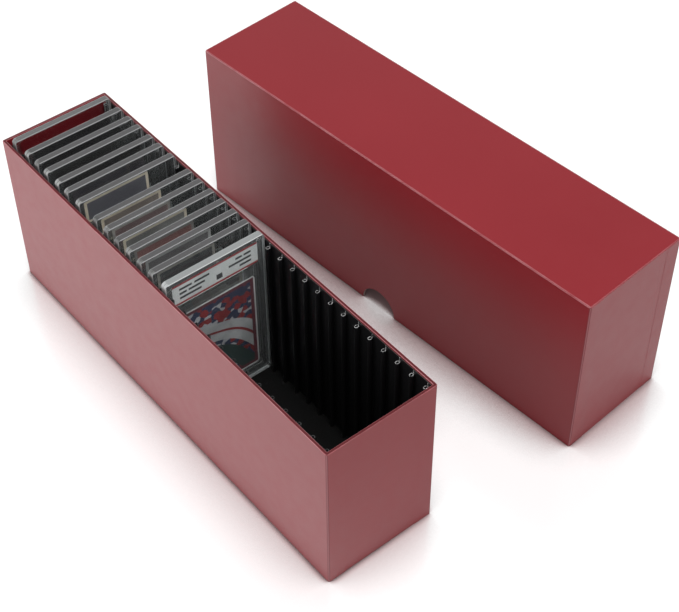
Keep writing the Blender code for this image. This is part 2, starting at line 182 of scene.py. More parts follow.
# The labels of the slabs that stand behind one another: how far right each one reaches,
# then the colours of its border and its field
SIDE_LABELS = {
    2: (30.0 * MM, (0.030, 0.028, 0.030), (0.022, 0.020, 0.022)),
    3: (30.0 * MM, (0.028, 0.027, 0.028), (0.022, 0.021, 0.022)),
    4: (16.0 * MM, (0.050, 0.050, 0.050), (0.030, 0.029, 0.029)),
    5: (30.0 * MM, (0.034, 0.032, 0.032), (0.026, 0.025, 0.026)),
    6: (24.0 * MM, (0.080, 0.072, 0.080), (0.055, 0.050, 0.060)),
    7: (17.5 * MM, (0.88, 0.78, 0.62), (0.120, 0.118, 0.140)),
    8: (13.5 * MM, (0.96, 0.84, 0.66), (0.30, 0.25, 0.22)),
    9: (12.0 * MM, (0.46, 0.44, 0.41), (0.24, 0.16, 0.16)),
    10: (16.5 * MM, (0.96, 0.86, 0.69), (0.27, 0.27, 0.26)),
    11: (13.0 * MM, (0.34, 0.33, 0.31), (0.31, 0.15, 0.14)),
    12: (17.5 * MM, (0.56, 0.56, 0.55), (0.20, 0.19, 0.195)),
    13: (11.0 * MM, (0.44, 0.42, 0.38), (0.085, 0.085, 0.088)),
}

# Light: the world's level as a light, and its level high up in a mirror, which it reaches
# between two slopes. Then the lamps' size, place and power.
SKY_LIGHT = 0.42
SKY_MIRRORED_HIGH = 0.42
SKY_BAND = (0.30, 0.62)
LIGHT_AIM = (0.0, 0.08, 0.05)
LIGHT_SIZE = 1.0
LIGHTS = (
    ("key_light", (0.54, 0.15, 1.72), 13.5),
    ("fill_light", (-0.85, -1.15, 0.62), 6.5),
)

# Floor. Its glow is what cameras and mirrors see. It fades by how much of the sky is hidden
# within three reaches: far, beside a wall, and at a foot.
FLOOR_SIZE = 12.0
FLOOR_COLOUR = 0.4
FLOOR_GLOW = 1.6
FLOOR_GLOSS = 0.5
FLOOR_ROUGHNESS = 0.2
SKY_REACH = 0.25
BESIDE_REACH = 60.0 * MM
CONTACT_REACH = 7.0 * MM
SHADED_TINT = (1.0, 0.62, 0.63)

# Shading's limit, a slab half's materials after its face, and sockets of the colour mix node
SMOOTH_ANGLE = math.radians(40)
RIM_COAT, EDGE_COAT, ROUND_HIGHLIGHT_COAT, CORNER_HIGHLIGHT_COAT = 1, 2, 3, 4
MIX_FACTOR, MIX_FIRST, MIX_SECOND, MIX_RESULT = 0, 6, 7, 2


class Recipe:
    """A node tree, with short calls for the nodes that several recipes share."""

    def __init__(self, tree):
        self.tree = tree

    def add(self, kind, **settings):
        node = self.tree.nodes.new(kind)
        for key, value in settings.items():
            setattr(node, key, value)
        return node

    def feed(self, socket, value):
        if isinstance(value, bpy.types.NodeSocket):
            self.tree.links.new(value, socket)
        else:
            socket.default_value = value

    def fed(self, kind, values, **settings):
        """A new node's first output, its inputs given by name or number."""
        node = self.add(kind, **settings)
        for key, value in values.items():
            self.feed(node.inputs[key], value)
        return node.outputs[0]

    def math(self, operation, first, second=0.0, third=0.0):
        return self.fed("ShaderNodeMath", {0: first, 1: second, 2: third}, operation=operation)

    def both(self, first, second):
        return self.math("MULTIPLY", first, second)

    def shifted(self, value, amount):
        return self.math("SUBTRACT", value, amount)

    def within(self, value, half):
        """1 where the value lies between minus half and half."""
        return self.math("LESS_THAN", self.math("ABSOLUTE", value), half)

    def remap(self, value, from_low, from_high, to_low, to_high):
        values = (value, from_low, from_high, to_low, to_high)
        return self.fed("ShaderNodeMapRange", dict(enumerate(values)))

    def mix(self, factor, first, second, **settings):
        node = self.add("ShaderNodeMix", data_type="RGBA", **settings)
        for index, value in ((MIX_FACTOR, factor), (MIX_FIRST, first), (MIX_SECOND, second)):
            self.feed(node.inputs[index], value)
        return node.outputs[MIX_RESULT]

    def axes(self, place):
        node = self.add("ShaderNodeSeparateXYZ")
        self.feed(node.inputs[0], place)
        return node.outputs

    def rays(self):
        return self.add("ShaderNodeLightPath").outputs

    def seen_rays(self):
        """1 for rays that show a thing, in a mirror or through glass too."""
        rays = self.rays()
        through = self.math("MAXIMUM", rays["Is Glossy Ray"], rays["Is Transmission Ray"])
        return self.math("MAXIMUM", rays["Is Camera Ray"], through)


class Finish(Recipe):
    """A material made on its Principled shader, in object coordinates."""

    def __init__(self, name):
        self.material = bpy.data.materials.new(name)
        self.material.use_nodes = True
        super().__init__(self.material.node_tree)
        self.shader = self.tree.nodes["Principled BSDF"]
        self.place = self.add("ShaderNodeTexCoord").outputs["Object"]

    def set(self, values):
        for key, value in values.items():
            self.feed(self.shader.inputs[key], value)

    def blend_shader(self, factor, other):
        """Mix another shader over the Principled one."""
        mixed = self.add("ShaderNodeMixShader")
        self.feed(mixed.inputs[0], factor)
        self.feed(mixed.inputs[1], self.shader.outputs[0])
        self.feed(mixed.inputs[2], other.outputs[0])
        self.feed(self.tree.nodes["Material Output"].inputs["Surface"], mixed.outputs[0])

    def mapped(self, location=(0, 0, 0), rotation=(0, 0, 0), scale=(1, 1, 1)):
        return self.fed("ShaderNodeMapping", {"Vector": self.place, "Location": location,
                                              "Rotation": rotation, "Scale": scale})

    def facing(self):
        """The surface's normal, axis by axis."""
        return self.axes(self.add("ShaderNodeNewGeometry").outputs["Normal"])

    def noise(self, scale, detail=2.0, place=None):
        return self.fed("ShaderNodeTexNoise", {"Vector": place or self.place, "Scale": scale,
                                               "Detail": detail})

    def cells(self, scale, place=None, output="Distance"):
        node = self.add("ShaderNodeTexVoronoi")
        self.feed(node.inputs["Vector"], place or self.place)
        self.feed(node.inputs["Scale"], scale)
        return node.outputs[output]

    def bump(self, height, depth, normal=None):
        values = {"Height": height, "Strength": 1.0, "Distance": depth}
        if normal:
            values["Normal"] = normal
        return self.fed("ShaderNodeBump", values)


def colour(red, green, blue):
    return (red, green, blue, 1.0)


def scaled(tint, share):
    return colour(*(share * part for part in tint))


# Finishes

def covering_finish(rim_top):
    """Smooth leather-look paper: deep red with a fine grain, with painted highlight along its
    folds.
    """
    look = Finish("red_covering")
    mottle = look.noise(9.0)
    grain = look.noise(1900.0, detail=3.0)
    swell = look.noise(240.0)
    red = look.mix(mottle, colour(0.300, 0.011, 0.019), colour(0.350, 0.017, 0.027))
    across_x, across_y, up = look.facing()
    # Painted highlight along the folds, fainter where an edge faces along X, broken up by noise
    fold = look.both(look.remap(up, 0.12, 0.40, 0.0, 1.0), look.remap(up, 0.995, 0.90, 0.0, 1.0))
    end = look.math("ABSOLUTE", across_x)
    painted_highlight = look.both(fold, look.remap(end, 0.1, 0.7, 1.0, 0.45))
    patchy = look.remap(look.noise(70.0, detail=3.0), 0.30, 0.60, 0.45, 1.0)
    red = look.mix(look.both(painted_highlight, patchy), red, colour(0.56, 0.22, 0.24))
    # Painted shade: the rim's flat top is made darker than the rest of the covering
    height = look.axes(look.place)[2]
    rim = look.both(look.within(look.shifted(height, rim_top), RIM_RADIUS / 2),
                    look.remap(up, 0.93, 0.99, 0.0, 1.0))
    red = look.mix(rim, red, colour(0.13, 0.008, 0.012))
    # Painted shade across the rounded upright corners, with a painted highlight line down their
    # middle
    corner = look.both(end, look.math("ABSOLUTE", across_y))
    red = look.mix(look.remap(corner, 0.08, 0.30, 0.0, 0.65), red, colour(0.15, 0.008, 0.012))
    red = look.mix(look.remap(corner, 0.40, 0.48, 0.0, 0.80), red, colour(0.50, 0.16, 0.18))
    look.set({
        "Base Color": red,
        "Roughness": look.remap(look.noise(90.0), 0.3, 0.7, 0.31, 0.36),
        "Normal": look.bump(grain, 0.012 * MM, look.bump(swell, 0.012 * MM)),
    })
    return look.material


def paper_finish(name, dark, light, roughness):
    """Matt paper with short fibres."""
    look = Finish(name)
    fibres = look.noise(700.0, detail=4.0, place=look.mapped(scale=(1.0, 1.0, 3.0)))
    look.set({
        "Base Color": look.mix(fibres, colour(*dark), colour(*light)),
        "Roughness": roughness,
        "Normal": look.bump(fibres, 0.03 * MM),
    })
    return look.material


def rack_finish(rack_top, rack_face):
    """Satin black plastic with drawn lines up the ribs, pale on its cut tops, partly as cut
    plastic and partly as painted highlight.
    """
    look = Finish("black_rack_plastic")
    lines = look.noise(1.0, detail=3.0, place=look.mapped(scale=(1300.0, 1300.0, 9.0)))
    _, across, height = look.axes(look.place)
    rib_top = rack_top - RIB_BELOW_SHEET
    sheet_top = look.math("GREATER_THAN", height, rack_top - CUT_BAND)
    high = look.both(look.math("GREATER_THAN", height, rib_top - CUT_BAND),
                     look.math("SUBTRACT", 1.0, sheet_top))
    # The pale rib tops and neck ridges: partly cut plastic, partly painted highlight
    cut_and_highlight = look.both(high, look.math("GREATER_THAN", look.facing()[2], 0.5))
    ridge = look.both(look.math("GREATER_THAN", height, rib_top + CUT_BAND),
                      look.within(across, rack_face - RIDGE_HIDDEN))
    # Painted light: the pale tops are made fainter on the near racks, towards -Y, than on the far
    # ones
    cut_and_highlight = look.both(look.math("MAXIMUM", cut_and_highlight, ridge),
                     look.remap(across, -rack_face / 2, rack_face / 2, 0.12, 1.0))
    chatter = look.remap(look.noise(1500.0), 0.42, 0.58, 0.0, 1.0)
    pale = look.mix(chatter, colour(0.05, 0.05, 0.05), colour(0.80, 0.80, 0.80))
    # Painted highlight: a lighter brownish band along the sheet's top
    plain = look.mix(sheet_top, colour(0.011, 0.011, 0.012), colour(0.080, 0.060, 0.060))
    look.set({
        "Base Color": look.mix(cut_and_highlight, plain, pale),
        "Roughness": look.remap(lines, 0.3, 0.7, 0.28, 0.42),
        "Normal": look.bump(lines, 0.02 * MM),
    })
    return look.material


def liner_finish():
    """Fine black foam."""
    look = Finish("black_foam")
    pores = look.cells(1400.0)
    look.set({
        "Base Color": look.mix(pores, colour(0.005, 0.005, 0.005), colour(0.014, 0.014, 0.014)),
        "Roughness": 0.9,
        "Specular IOR Level": 0.2,
        "Normal": look.bump(pores, 0.12 * MM),
    })
    return look.material


def clear_finish(name, tint, transmission, roughness, depth):
    """Hard clear plastic; a lower transmission makes it hazier."""
    look = Finish(name)
    smear = look.noise(45.0, detail=3.0)
    look.set({
        "Base Color": look.mix(smear, colour(*tint), scaled(tint, 0.93)),
        "Roughness": look.remap(smear, 0.3, 0.7, roughness, 1.6 * roughness),
        "Transmission Weight": transmission,
        "IOR": PLASTIC_IOR,
        "Normal": look.bump(look.noise(160.0), depth),
    })
    look.blend_shader(look.rays()["Is Shadow Ray"], look.add("ShaderNodeBsdfTransparent"))
    return look.material


def moulded_finish(name, tint, roughness, unlike=0.0):
    """The slabs' narrow frosted edges; unlike says how much they vary along the row."""
    look = Finish(name)
    frost = look.noise(900.0, detail=3.0)
    row = look.remap(look.noise(62.0, detail=0.0), 0.38, 0.62, 0.0, 1.0)
    plain = look.mix(row, scaled(tint, 0.85 - 0.6 * unlike), scaled(tint, 0.85 + 1.5 * unlike))
    look.set({
        "Base Color": look.mix(look.both(frost, 0.25), plain, scaled(tint, 1.2)),
        "Roughness": roughness,
        "IOR": PLASTIC_IOR,
        "Normal": look.bump(frost, 0.01 * MM),
    })
    return look.material


def label_finish(name, centre, size, border, border_colour, field, bars):
    """A printed label: bordered all round, or by two bands where it carries rows of bars."""
    look = Finish(name)
    _, across, up = look.axes(look.mapped(location=(0.0, -centre[0], -centre[1])))
    inner = look.within(up, size[1] / 2 - border)
    if not bars:
        inner = look.both(inner, look.within(across, size[0] / 2 - border))
    swayed = look.math("ADD", up, look.both(look.noise(30.0), LABEL_SWAY))
    waves = look.math("SINE", look.both(swayed, LABEL_WAVES))
    soft = look.remap(look.noise(55.0), 0.35, 0.65, 0.0, 1.0)
    pale = colour(*(min(1.0, 1.12 * part) for part in field))
    ground = look.mix(soft, scaled(field, 0.86), pale)
    printed = look.mix(look.remap(waves, 0.6, 1.0, 0.0, 0.25), ground, pale)
    for start, end, middle, height in bars:
        bar = look.both(look.within(look.shifted(across, (start + end) / 2), (end - start) / 2),
                        look.within(look.shifted(up, middle), height / 2))
        printed = look.mix(bar, printed, colour(0.03, 0.03, 0.035))
    look.set({
        "Base Color": look.mix(inner, colour(*border_colour), printed),
        "Roughness": 0.45,
    })
    return look.material


def card_finish(name, centre, palette, turn):
    """A glossy card: white edge, coloured frame and an abstract print of patches and bands."""
    look = Finish(name)
    middle = (0.0, -centre[0], -centre[1])
    _, across, up = look.axes(look.mapped(location=middle))
    edge, window = (look.both(look.within(across, CARD_WIDTH / 2 - border),
                              look.within(up, CARD_HEIGHT / 2 - border))
                    for border in (CARD_EDGE, CARD_FRAME))
    turned = look.mapped(location=middle, rotation=(turn, 0.0, 0.0))
    _, along, over = look.axes(turned)
    patched, spotted, _ = look.axes(look.cells(210.0, place=turned, output="Color"))
    ground, patches, spots, band, low_band, frame_tone = (colour(*tone) for tone in palette)
    picture = look.mix(look.math("GREATER_THAN", patched, 0.55), ground, patches)
    picture = look.mix(look.math("GREATER_THAN", spotted, 0.78), picture, spots)
    sweep = look.math("ADD", over, look.both(look.math("SINE", look.both(along, PRINT_WAVES)),
                                             PRINT_SWAY))
    for (height, half), tone in ((PRINT_BAND, band), (PRINT_STRIPE, patches),
                                 (PRINT_LOW_BAND, low_band)):
        picture = look.mix(look.within(look.shifted(sweep, height), half), picture, tone)
    fade = look.remap(look.noise(60.0, detail=3.0), 0.25, 0.75, 0.62, 1.15)
    picture = look.mix(1.0, picture, fade, blend_type="MULTIPLY")
    framed = look.mix(window, frame_tone, picture)
    look.set({
        "Base Color": look.mix(edge, colour(0.78, 0.78, 0.77), framed),
        "Roughness": 0.32,
    })
    return look.material


# Mesh tools

def arc(middle_inset, middle_height, radius, start_degrees, end_degrees):
    """Points of a round in a wall's section; 0 degrees points inwards and 90 up."""
    points = []
    for step in range(ROUND_STEPS + 1):
        angle = math.radians(start_degrees + (end_degrees - start_degrees) * step / ROUND_STEPS)
        points.append((middle_inset + radius * math.cos(angle),
                       middle_height + radius * math.sin(angle)))
    return points


def round_corners(half_x, half_y, radius, steps):
    """Four arcs anticlockwise round a rectangle, from its +X, -Y corner."""
    arcs = []
    for index, (side_x, side_y) in enumerate(((1, -1), (1, 1), (-1, 1), (-1, -1))):
        middle = Vector((side_x * (half_x - radius), side_y * (half_y - radius)))
        start = math.pi / 2 * (index - 1)
        arcs.append([middle + radius * Vector((math.cos(start + math.pi / 2 * step / steps),
                                               math.sin(start + math.pi / 2 * step / steps)))
                     for step in range(steps + 1)])
    return arcs


def wrapped_outline(half_x, half_y, radius, lap, dent):
    """The outline of a wrapped wall, with the lap's step on both end faces."""
    arcs = round_corners(half_x, half_y, radius, CORNER_STEPS)
    right = [(half_x, -lap), (half_x - dent, -lap + LAP_SLOPE),
             (half_x - dent, lap - LAP_SLOPE), (half_x, lap)]
    left = [(-x, -y) for x, y in right]
    return arcs[0] + right + arcs[1] + arcs[2] + left + arcs[3]


def loft(work, rings, closed=False):
    """Join rings of equally many points with faces, each to the next."""
    rows = [[work.verts.new(point) for point in ring] for ring in rings]
    pairs = list(zip(rows, rows[1:]))
    if closed:
        pairs.append((rows[-1], rows[0]))
    for low, high in pairs:
        for index in range(len(low)):
            after = (index + 1) % len(low)
            work.faces.new((low[index], low[after], high[after], high[index]))
    return rows


def capped(work, rows):
    """Close both ends of a loft."""
    work.faces.new(reversed(rows[0]))
    work.faces.new(rows[-1])


def mesh_of(work, name, place=None):
    """The finished mesh of a bmesh, moved to its place."""
    if place:
        bmesh.ops.transform(work, matrix=place, verts=work.verts)
    mesh = bpy.data.meshes.new(name)
    work.to_mesh(mesh)
    work.free()
    return mesh


def piece(name, mesh, *materials):
    """Link a mesh as an object, in these materials."""
    made = bpy.data.objects.new(name, mesh)
    bpy.context.scene.collection.objects.link(made)
    for material in materials:
        made.data.materials.append(material)
    return made


def smooth(made):
    """Shade a piece smooth between its sharp edges, its flats kept flat."""
    made.data.shade_smooth()
    made.data.set_sharp_from_angle(angle=SMOOTH_ANGLE)
    weighted = made.modifiers.new("flat_faces", "WEIGHTED_NORMAL")
    weighted.mode = "FACE_AREA"
    weighted.keep_sharp = True
    return made


def baked(source, name):
    """A plain mesh of the object as its modifiers leave it; the object is removed."""
    bpy.context.view_layer.update()
    graph = bpy.context.evaluated_depsgraph_get()
    mesh = bpy.data.meshes.new_from_object(source.evaluated_get(graph))
    mesh.name = name
    bpy.data.objects.remove(source, do_unlink=True)
    return mesh


def cut_by(source, cutters, name):
    """The source's mesh with each cutter taken out of it; source and cutters are removed."""
    for shape in cutters:
        boolean = source.modifiers.new(shape.name, "BOOLEAN")
        boolean.operation = "DIFFERENCE"
        boolean.solver = "EXACT"
        boolean.object = shape
    mesh = baked(source, name)
    for shape in cutters:
        bpy.data.objects.remove(shape, do_unlink=True)
    return mesh


def belongs(made, body, *nodes, slot=None):
    """The piece rides on its body and may stand for CAD nodes."""
    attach(made, body)
    if nodes:
        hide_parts(*nodes)


# Box

def wrapped_rings(profile, half_x, half_y):
    """Rings of a wrapped wall from its section's points: inset and height."""
    rings = []
    for inset, height in profile:
        outside = inset < PAPER / 2
        outline = wrapped_outline(half_x - inset, half_y - inset,
                                  max(CORNER_RADIUS - inset, LEAST_RADIUS),
                                  half_y - CORNER_LAP, LAP_STEP if outside else 0.0)
        rings.append([(x, y, height) for x, y in outline])
    return rings


def make_box_covering(material):
    """The red paper round the box, over its rim and down inside."""
    low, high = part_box("box_cover")
    top = high.z
    profile = [(0.0, low.z)]
    profile += arc(RIM_RADIUS, top - RIM_RADIUS, RIM_RADIUS, 180, 90)
    profile += arc(BOX_WALL - RIM_RADIUS, top - RIM_RADIUS, RIM_RADIUS, 90, 0)
    profile += [(BOX_WALL, top - BOX_TURN_IN), (BOX_WALL - PAPER, top - BOX_TURN_IN),
                (BOX_WALL - PAPER, top - PAPER), (PAPER, top - PAPER), (PAPER, low.z)]
    work = bmesh.new()
    loft(work, wrapped_rings(profile, high.x, high.y), closed=True)
    covering = smooth(piece("box_covering", mesh_of(work, "box_covering"), material))
    belongs(covering, "box", "box_cover", slot="red_cover")


# Lid

def lid_place():
    """Where the lid stands: its middle, turned with it."""
    low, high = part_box("lid_cover")
    middle = (low + high) / 2
    return Matrix.Translation((middle.x, middle.y, 0.0)) @ Matrix.Rotation(LID_TURN, 4, "Z")


def notch_cutter(place):
    """A round bar across the lid's lower edge at mid-length."""
    work = bmesh.new()
    bmesh.ops.create_cone(work, cap_ends=True, segments=NOTCH_SIDES, radius1=NOTCH_RADIUS,
                          radius2=NOTCH_RADIUS, depth=LID_WIDTH + 2 * OVERRUN)
    mesh = mesh_of(work, "notch", place @ Matrix.Rotation(math.pi / 2, 4, "X"))
    return piece("notch", mesh)


def make_lid_covering(material, place):
    """The red paper over the lid, folded in round its lower rim, with its thumb notches."""
    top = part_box("lid_cover")[1].z
    profile = [(PAPER, top - PAPER), (PAPER, PAPER), (LID_WALL - PAPER, PAPER),
               (LID_WALL - PAPER, LID_TURN_IN), (LID_WALL, LID_TURN_IN)]
    profile += arc(LID_WALL - FOLD_RADIUS, FOLD_RADIUS, FOLD_RADIUS, 0, -90)
    profile += arc(FOLD_RADIUS, FOLD_RADIUS, FOLD_RADIUS, -90, -180)
    profile += arc(CORNER_RADIUS, top - CORNER_RADIUS, CORNER_RADIUS, 180, 90)
    work = bmesh.new()
    capped(work, loft(work, wrapped_rings(profile, LID_LENGTH / 2, LID_WIDTH / 2)))
    source = piece("lid_covering", mesh_of(work, "lid_covering", place))
    mesh = cut_by(source, [notch_cutter(place)], "lid_covering")
    covering = smooth(piece("lid_covering", mesh, material))
    belongs(covering, "lid", "lid_cover", slot="red_cover")


def make_lid_lining(material, place):
    """The paper that lines the lid above the folded-in covering."""
    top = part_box("lid_lining")[1].z
    start = LID_TURN_IN + SHEET_SEAM
    profile = [(LID_WALL, top - LINING), (LID_WALL, start),
               (LID_WALL - LINING, start), (LID_WALL - LINING, top)]
    rings = []
    for inset, height in profile:
        arcs = round_corners(LID_LENGTH / 2 - inset, LID_WIDTH / 2 - inset, LEAST_RADIUS, 2)
        rings.append([(x, y, height) for corner in arcs for x, y in corner])
    work = bmesh.new()
    capped(work, loft(work, rings))
    source = piece("lid_paper_lining", mesh_of(work, "lid_paper_lining", place))
    mesh = cut_by(source, [notch_cutter(place)], "lid_paper_lining")
    lining = smooth(piece("lid_paper_lining", mesh, material))
    belongs(lining, "lid", "lid_lining", slot="red_lining")


def make_lid_boards(material):
    """The lid's four wall boards, their feet lifted clear of the fold below them."""
    for side in ("front", "rear", "left", "right"):
        node = f"lid_{side}_board"
        work = bmesh.new()
        work.from_mesh(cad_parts[node].data)
        bmesh.ops.remove_doubles(work, verts=work.verts, dist=MERGE_DISTANCE)
        for corner in work.verts:
            corner.co.z = max(corner.co.z, PAPER + BOARD_CLEARANCE)
        made = piece(node + "_core", mesh_of(work, node + "_core"), material)
        belongs(made, "lid", node, slot="greyboard")


# Racks

def upright_bar(work, width, near, far, low, high):
    """A square bar between two heights, from near to far along +Y."""
    bar = bmesh.ops.create_cube(work, size=1.0)["verts"]
    bmesh.ops.scale(work, vec=(width, far - near, high - low), verts=bar)
    bmesh.ops.translate(work, vec=(0.0, (near + far) / 2, (low + high) / 2), verts=bar)


def rib_mesh(height):
    """One hollow rib, its root at the origin, reaching out along +Y, its neck left higher."""
    rib_top = height / 2 - RIB_BELOW_SHEET
    middle = NECK_DEPTH + RIB_DEPTH / 2
    rows = []
    for inset in (0.0, RIB_WALL):
        arcs = round_corners(RIB_WIDTH / 2 - inset, RIB_DEPTH / 2 - inset,
                             RIB_CORNER - inset, RIB_STEPS)
        rows.append([(x, y + middle) for corner in arcs for x, y in corner])
    outer, inner = rows
    work = bmesh.new()
    rings = [[(x, y, level) for x, y in row]
             for row, level in ((outer, -height / 2), (outer, rib_top),
                                (inner, rib_top), (inner, -height / 2))]
    loft(work, rings, closed=True)
    upright_bar(work, NECK_WIDTH, -RIB_WALL / 2, NECK_DEPTH + RIB_WALL / 2, -height / 2, rib_top)
    upright_bar(work, RIDGE_WIDTH, -RIB_WALL / 2, NECK_RIDGE, rib_top, height / 2)
    return mesh_of(work, "rib")


def comb_tree():
    """Geometry nodes that stand a row of ribs on a sheet."""
    tree = bpy.data.node_groups.new("comb_rack", "GeometryNodeTree")
    tree.interface.new_socket("Geometry", in_out="OUTPUT", socket_type="NodeSocketGeometry")
    for name, kind in (("Rib", "Geometry"), ("Ribs", "Int"), ("Pitch", "Float"),
                       ("Sheet Low", "Vector"), ("Sheet High", "Vector"),
                       ("Plastic", "Material")):
        tree.interface.new_socket(name, in_out="INPUT", socket_type="NodeSocket" + kind)
    plan = Recipe(tree)
    given = plan.add("NodeGroupInput").outputs

    def vector(operation, first, second):
        return plan.fed("ShaderNodeVectorMath", {0: first, 1: second}, operation=operation)

    def halved(value):
        return plan.fed("ShaderNodeVectorMath", {0: value, "Scale": 0.5}, operation="SCALE")

    step = plan.fed("ShaderNodeCombineXYZ", {"X": given["Pitch"]})
    line = plan.fed("GeometryNodeMeshLine", {"Count": given["Ribs"], "Offset": step,
                                             "Start Location": halved(step)}, mode="OFFSET")
    ribs = plan.fed("GeometryNodeInstanceOnPoints", {"Points": line, "Instance": given["Rib"]})
    low, high = given["Sheet Low"], given["Sheet High"]
    sheet = plan.fed("GeometryNodeMeshCube", {"Size": vector("SUBTRACT", high, low)})
    placed = plan.fed("GeometryNodeTransform", {"Geometry": sheet,
                                                "Translation": halved(vector("ADD", high, low))})
    joined = plan.add("GeometryNodeJoinGeometry")
    for part in (ribs, placed):
        plan.feed(joined.inputs[0], part)
    real = plan.fed("GeometryNodeRealizeInstances", {0: joined.outputs[0]})
    coated = plan.fed("GeometryNodeSetMaterial", {"Geometry": real, "Material": given["Plastic"]})
    plan.feed(plan.add("NodeGroupOutput").inputs[0], coated)
    return tree


def make_racks(material):
    """Four lengths of comb, two end to end along each long wall."""
    tree = comb_tree()
    keys = {item.name: item.identifier for item in tree.interface.items_tree
            if item.in_out == "INPUT"}
    for end, along in (("right", 1.0), ("left", -1.0)):
        for wall, inward in (("front", 1.0), ("rear", -1.0)):
            node = f"rack_{wall}_{end}"
            low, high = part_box(node)
            height = high.z - low.z
            near, far = sorted((abs(low.x), abs(high.x)))
            source = piece(node, rib_mesh(height))
            comb = source.modifiers.new("comb", "NODES")
            comb.node_group = tree
            for name, value in (("Ribs", RIBS_PER_RACK), ("Pitch", RIB_PITCH),
                                ("Sheet Low", (near, -RACK_SHEET, -height / 2)),
                                ("Sheet High", (far, 0.0, height / 2)), ("Plastic", material)):
                comb[keys[name]] = value
            mesh = baked(source, node + "_comb")
            face = low.y + RACK_SHEET if wall == "front" else high.y - RACK_SHEET
            flip = Matrix.Diagonal((along, inward, 1.0, 1.0))
            mesh.transform(Matrix.Translation((0.0, face, (low.z + high.z) / 2)) @ flip)
            if flip.determinant() < 0:
                mesh.flip_normals()
            rack = smooth(piece(node + "_comb", mesh, material))
            belongs(rack, "box", node, slot="black_plastic")


# Slabs

def rounded_ring(half_y, half_z, radius, middle_z, depth):
    """A rounded rectangle across X, at one depth."""
    arcs = round_corners(half_y, half_z, radius, SLAB_STEPS)
    return [(depth, y, z + middle_z) for corner in arcs for y, z in corner]


def frustum(name, width, low, high, radius, sections):
    """A rounded rectangle lofted along X through sections of depth and spread."""
    work = bmesh.new()
    rings = [rounded_ring(width / 2 + spread, (high - low) / 2 + spread, radius + spread,
                          (low + high) / 2, depth) for depth, spread in sections]
    capped(work, loft(work, rings))
    return piece(name, mesh_of(work, name))


def slab_half_mesh(width, height, thickness, label):
    """One clear half facing +X, its foot at the origin: raised rim, windows and pockets."""
    outer = thickness / 2
    profile = [(0.0, SEAM_SHOWN), (0.0, SEAM_BAND)]
    profile += [(EDGE_ROUND - out, outer - EDGE_ROUND + along)
                for along, out in arc(0.0, 0.0, EDGE_ROUND, 90, 0)]
    profile += [(RIM_BAND, outer), (RIM_BAND + RIM_SLOPE, outer - RIM_STEP)]
    work = bmesh.new()
    rings = [rounded_ring(width / 2 - inset, height / 2 - inset,
                          max(SLAB_CORNER - inset, LEAST_RADIUS), height / 2, depth)
             for inset, depth in profile]
    capped(work, loft(work, rings))
    source = piece("slab_half", mesh_of(work, "slab_half"))
    card = (-CARD_WIDTH / 2, CARD_WIDTH / 2, CARD_FROM_FOOT, CARD_FROM_FOOT + CARD_HEIGHT)
    spare, border = POCKET_SPARE, WINDOW_BORDER
    floor = outer - WINDOW_DEPTH
    cutters = []
    for name, (left, right, low, high) in (("card", card), ("label", label)):
        middle = Matrix.Translation((0.0, (left + right) / 2, 0.0))
        pocket = frustum(name + "_pocket", right - left + 2 * spare, low - spare, high + spare,
                         POCKET_CORNER, ((-OVERRUN, 0.0), (POCKET_DEPTH, 0.0)))
        window = frustum(name + "_window", right - left + 2 * border, low - border,
                         high + border, WINDOW_CORNER,
                         ((floor, 0.0), (floor + WINDOW_SLOPE, WINDOW_SLOPE),
                          (outer + OVERRUN, WINDOW_SLOPE)))
        for shape in (pocket, window):
            shape.data.transform(middle)
            cutters.append(shape)
    return cut_by(source, cutters, "slab_half")


def paint_half(mesh, width, height, thickness):
    """Give the half's rim band, edges, rounds and near upper corner their materials; the rounds
    and that corner carry painted highlight.
    """
    outer = thickness / 2
    for face in mesh.polygons:
        middle = face.center
        inset = min(width / 2 - abs(middle.y), middle.z, height - middle.z)
        upper_corner = (middle.z > height - SLAB_CORNER
                        and abs(middle.y) > width / 2 - SLAB_CORNER)
        if inset < EDGE_ROUND and middle.x > outer - EDGE_ROUND:
            face.material_index = ROUND_HIGHLIGHT_COAT
        elif abs(face.normal.x) < 0.5 and (inset < EDGE_ROUND / 2 or upper_corner):
            # Painted highlight on the near upper corner only
            lit_near_corner = upper_corner and middle.y < 0 and middle.x > SEAM_BAND
            face.material_index = CORNER_HIGHLIGHT_COAT if lit_near_corner else EDGE_COAT
        elif inset < RIM_BAND + RIM_SLOPE and middle.x > outer - RIM_STEP - EDGE_ROUND / 2:
            face.material_index = RIM_COAT


def printed_sheet(name, centre, half_y, half_z, radius, material, body, slot, *nodes):
    """A card or a label: a thin sheet with round corners at its place in a slab."""
    work = bmesh.new()
    x, y, z = centre
    rings = [rounded_ring(half_y, half_z, radius, 0.0, depth)
             for depth in (-SHEET_THICKNESS / 2, SHEET_THICKNESS / 2)]
    capped(work, loft(work, rings))
    mesh = mesh_of(work, name, Matrix.Translation((x, y, z)))
    sheet = piece(name, mesh, material)
    belongs(sheet, body, *nodes, slot=slot)


def label_bars():
    """The front label's bars and block: start, end, middle and height."""
    bars = [(start * MM, end * MM, height * MM, BAR_HEIGHT)
            for height, lengths in BAR_ROWS for start, end in lengths]
    return bars + [LABEL_BLOCK]


def label_edges(number, height):
    """The left, right, low and high edge of a slab's label, from the middle of its foot."""
    if number == FRONT_SLAB:
        left, right = -LABEL_WIDTH / 2, LABEL_WIDTH / 2
        high, tall = height - LABEL_FROM_TOP, LABEL_HEIGHT
    else:
        left = SIDE_LABEL_LEFT
        right = SIDE_LABELS[number][0] if number in SIDE_LABELS else -SIDE_LABEL_LEFT
        high, tall = height - SIDE_LABEL_FROM_TOP, SIDE_LABEL_HEIGHT
    return left, right, high - tall, high


